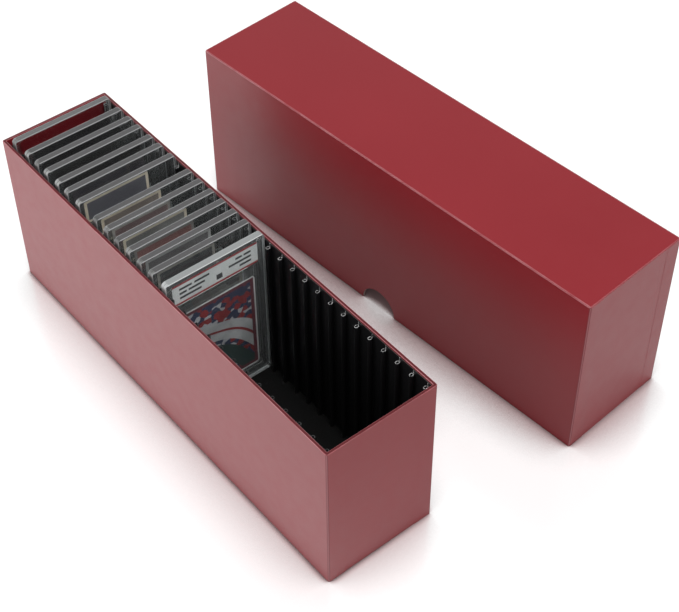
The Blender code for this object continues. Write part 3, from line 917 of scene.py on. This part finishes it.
def label_print(number, centre, width):
    """The print of a slab's label, or None in the slab without one."""
    if number == FRONT_SLAB:
        return label_finish("front_label", centre, (width, LABEL_HEIGHT), LABEL_BAND,
                            LABEL_BAND_COLOUR, LABEL_FIELD, label_bars())
    if number not in SIDE_LABELS:
        return None
    _, border_colour, field = SIDE_LABELS[number]
    return label_finish(f"slab_{number:02d}_label_print", centre, (width, SIDE_LABEL_HEIGHT),
                        SIDE_LABEL_BORDER, border_colour, field, ())


def slab_finishes():
    """Each half's materials, by its slab's number and its name: face, rim, edge, round, corner."""
    face = clear_finish("clear_plastic_face", (0.95, 0.97, 0.97), 0.988, 0.03, 0.001 * MM)
    rim = clear_finish("clear_plastic_rim", (0.89, 0.92, 0.93), 0.965, 0.06, 0.008 * MM)
    front_face = clear_finish("front_clear_plastic_face", (0.96, 0.98, 0.98), 0.97, 0.02,
                              0.001 * MM)
    front_rim = clear_finish("front_clear_plastic_rim", (0.90, 0.93, 0.94), 0.94, 0.05,
                             0.008 * MM)
    first_face = clear_finish("first_clear_plastic_face", (0.96, 0.98, 0.98), 1.0, 0.02,
                              0.001 * MM)
    edge = moulded_finish("slab_edge", (0.125, 0.124, 0.126), 0.34)
    # Painted highlight on the near upper corners, lighter than the plain edge and varying along
    # the row
    corner = moulded_finish("slab_corner_painted_highlight", (0.20, 0.205, 0.20), 0.34, unlike=0.8)
    # Painted highlight on the rounded edges, painted brighter on the back halves than on the front
    # ones
    rounds = {"front": moulded_finish("slab_edge_round_front_painted_highlight", (0.46, 0.46, 0.465), 0.28),
              "back": moulded_finish("slab_edge_round_back_painted_highlight", (0.80, 0.80, 0.81), 0.25)}
    first_edge = moulded_finish("first_slab_edge", (0.19, 0.185, 0.186), 0.34)
    # The front slab's edges, painted lighter than the others' as if lit more, with painted
    # highlight on their rounds and near corner
    front_painted_lit_edges = (moulded_finish("front_slab_edge_painted_lit", (0.40, 0.42, 0.42), 0.30),
                   moulded_finish("front_slab_edge_round_painted_highlight", (0.84, 0.86, 0.86), 0.25),
                   moulded_finish("front_slab_corner_painted_highlight", (0.60, 0.62, 0.62), 0.28))
    coats = {}
    for name, rounded in rounds.items():
        for number in range(1, SLABS + 1):
            coats[number, name] = (face, rim, edge, rounded, corner)
        coats[FIRST_SLAB, name] = (first_face, rim, first_edge, rounded, corner)
        coats[FRONT_SLAB, name] = (front_face, front_rim, *front_painted_lit_edges)
    return coats


def make_slabs():
    """Fourteen slabs: each one's halves and card, and its label where it has one."""
    coats = slab_finishes()
    halves = {}
    flip = Matrix.Diagonal((-1.0, 1.0, 1.0, 1.0))
    for number in range(1, SLABS + 1):
        body = f"slab_{number:02d}"
        back_low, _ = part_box(body + "_back_half")
        front_low, front_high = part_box(body + "_front_half")
        width = front_high.y - front_low.y
        height = front_high.z - front_low.z
        thickness = front_high.x - back_low.x
        x = front_high.x - thickness / 2
        foot = front_low.z
        label = label_edges(number, height)
        if label not in halves:
            halves[label] = slab_half_mesh(width, height, thickness, label)
            paint_half(halves[label], width, height, thickness)
        for name, turn in (("front", Matrix.Identity(4)), ("back", flip)):
            mesh = halves[label].copy()
            mesh.transform(Matrix.Translation((x, 0.0, foot)) @ turn)
            if turn.determinant() < 0:
                mesh.flip_normals()
            half = smooth(piece(f"{body}_{name}_shell", mesh, *coats[number, name]))
            belongs(half, body, f"{body}_{name}_half", slot="clear_plastic")
        nodes = (("slab_14_card",), ("slab_14_label",)) if number == FRONT_SLAB else ((), ())
        card_middle = foot + CARD_FROM_FOOT + CARD_HEIGHT / 2
        quiet = QUIET_PALETTES[number % len(QUIET_PALETTES)]
        print_look = card_finish(body + "_card_print", (0.0, card_middle),
                                 FRONT_PALETTE if number == FRONT_SLAB else quiet,
                                 math.radians(PRINT_TURN + PRINT_STEP * (FRONT_SLAB - number)))
        printed_sheet(body + "_card_sheet", (x, 0.0, card_middle), CARD_WIDTH / 2,
                      CARD_HEIGHT / 2, CARD_CORNER, print_look, body, "card_stock", *nodes[0])
        left, right, low, high = label
        across, up = (left + right) / 2, foot + (low + high) / 2
        print_look = label_print(number, (across, up), right - left)
        if print_look:
            printed_sheet(body + "_label_sheet", (x, across, up), (right - left) / 2,
                          (high - low) / 2, LABEL_CORNER, print_look, body, "label_paper",
                          *nodes[1])
    for mesh in halves.values():
        bpy.data.meshes.remove(mesh)


# Surroundings

def make_floor():
    """A wide white floor with a soft gloss, which darkens where things stand close over it."""
    work = bmesh.new()
    bmesh.ops.create_grid(work, x_segments=1, y_segments=1, size=FLOOR_SIZE / 2)
    look = Finish("white_floor")

    def open_share(reach, samples):
        """How much of what is above stays open within this reach."""
        node = look.add("ShaderNodeAmbientOcclusion", samples=samples)
        node.inputs["Distance"].default_value = reach
        return node.outputs["AO"]

    sky = open_share(SKY_REACH, 16)
    beside = open_share(BESIDE_REACH, 8)
    contact = open_share(CONTACT_REACH, 8)
    mirrored = look.rays()["Is Glossy Ray"]
    along, across, _ = look.axes(look.place)
    # Right at a foot: darkest in front, softer behind the box and in a mirror
    least = look.remap(mirrored, 0.0, 1.0, look.remap(across, 0.0, 0.05, 0.10, 0.32), 0.40)
    touched = look.remap(contact, 0.5, 0.9, least, 1.0)
    # Further out: a shade that is deeper to the right and behind
    open_shade = look.remap(look.math("ADD", along, across), 0.12, 0.40,
                            look.remap(mirrored, 0.0, 1.0, 0.48, 0.0), 0.75)
    shade = look.both(look.remap(beside, 0.5, 0.85, 1.0, 0.0),
                      look.remap(sky, 0.27, 0.50, 0.88, open_shade))
    glow = look.both(look.remap(sky, 0.20, 0.42, 0.12, FLOOR_GLOW),
                     look.both(look.math("SUBTRACT", 1.0, shade), touched))
    unshaded = look.remap(glow, 0.15, 1.10, 0.0, 1.0)
    # In a mirror: bright in front of the box, dim between it and the lid, and fair behind
    between = look.remap(along, -0.05, 0.12, 0.74, 0.50)
    ahead = look.remap(across, -0.06, -0.03, 1.10, between)
    level = look.remap(across, 0.14, 0.20, ahead, 0.80)
    glow = look.both(glow, look.math("MULTIPLY_ADD", mirrored, look.shifted(level, 1.0), 1.0))
    pale = colour(FLOOR_COLOUR, FLOOR_COLOUR, FLOOR_COLOUR)
    look.set({
        "Base Color": look.mix(touched, colour(0.02, 0.02, 0.02), pale),
        "Roughness": 0.5,
        "Specular IOR Level": 0.0,
        "Emission Color": look.mix(unshaded, colour(*SHADED_TINT), colour(1.0, 1.0, 1.0)),
        "Emission Strength": look.both(look.seen_rays(), glow),
    })
    gloss = look.add("ShaderNodeBsdfGlossy")
    gloss.inputs["Roughness"].default_value = FLOOR_ROUGHNESS
    look.blend_shader(look.both(touched, FLOOR_GLOSS), gloss)
    floor = piece("floor", mesh_of(work, "floor"), look.material)


def make_world():
    """White to look at, less bright high up in a mirror, and plainer as a light."""
    world = bpy.data.worlds.new("studio")
    bpy.context.scene.world = world
    world.use_nodes = True
    look = Recipe(world.node_tree)
    rays = look.rays()
    up = look.axes(look.add("ShaderNodeTexCoord").outputs["Generated"])[2]
    mirrored = look.remap(up, *SKY_BAND, 1.0, SKY_MIRRORED_HIGH)
    level = SKY_LIGHT
    for ray, strength in (("Is Glossy Ray", mirrored), ("Is Transmission Ray", 1.0),
                          ("Is Camera Ray", 1.0)):
        level = look.fed("ShaderNodeMix", {0: rays[ray], 2: level, 3: strength})
    light = world.node_tree.nodes["Background"]
    light.inputs["Color"].default_value = colour(1.0, 1.0, 1.0)
    look.feed(light.inputs["Strength"], level)


def make_lights():
    """Two wide soft lights: one overhead, and a lower one at the front left."""
    for name, place, power in LIGHTS:
        lamp = bpy.data.lights.new(name, "AREA")
        lamp.size = LIGHT_SIZE
        lamp.energy = power
        holder = bpy.data.objects.new(name, lamp)
        holder.location = place
        aim = Vector(LIGHT_AIM) - Vector(place)
        holder.rotation_euler = aim.to_track_quat("-Z", "Y").to_euler()
        bpy.context.scene.collection.objects.link(holder)


def make_camera():
    """The photograph's viewpoint, with the roll that its fit found."""
    back = Vector((math.sin(CAMERA_AZIMUTH) * math.cos(CAMERA_ELEVATION),
                   -math.cos(CAMERA_AZIMUTH) * math.cos(CAMERA_ELEVATION),
                   math.sin(CAMERA_ELEVATION)))
    right = Vector((0.0, 0.0, 1.0)).cross(back).normalized()
    up = back.cross(right)
    turn = Matrix((right, up, back)).transposed().to_4x4()
    data = bpy.data.cameras.new("photograph")
    data.sensor_width = SENSOR
    data.lens = FOCAL_PX / PHOTO_WIDTH_PX * SENSOR
    camera = bpy.data.objects.new("photograph", data)
    camera.matrix_world = (Matrix.Translation(CAMERA_PLACE) @ turn
                           @ Matrix.Rotation(CAMERA_ROLL, 4, "Z"))
    bpy.context.scene.collection.objects.link(camera)
    bpy.context.scene.camera = camera


make_camera()
make_world()
make_lights()
make_floor()

red = covering_finish(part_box("box_cover")[1].z)
board = paper_finish("greyboard_core", (0.33, 0.30, 0.26), (0.52, 0.49, 0.44), 0.9)
dark_red = paper_finish("red_lining_paper", (0.055, 0.006, 0.009), (0.085, 0.010, 0.014), 0.6)
dark = paper_finish("dark_lining_paper", (0.020, 0.017, 0.017), (0.034, 0.030, 0.029), 0.6)
foam = liner_finish()
rack_low, rack_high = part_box("rack_front_right")
black = rack_finish(rack_high.z, -rack_low.y - RACK_SHEET)

make_box_covering(red)
lid = lid_place()
make_lid_covering(red, lid)
make_lid_lining(dark, lid)
make_lid_boards(board)
make_racks(black)
make_slabs()

# Solids that show as they are
kept = {"box_bottom_sheet": red, "box_lining": dark_red, "floor_liner": foam,
        "lid_top_board": board}
kept.update({f"box_{side}_board": board for side in ("floor", "front", "rear", "left", "right")})
for node, material in kept.items():
    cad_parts[node].material_slots[0].material = material

scene = bpy.context.scene
scene.view_settings.view_transform = "Standard"
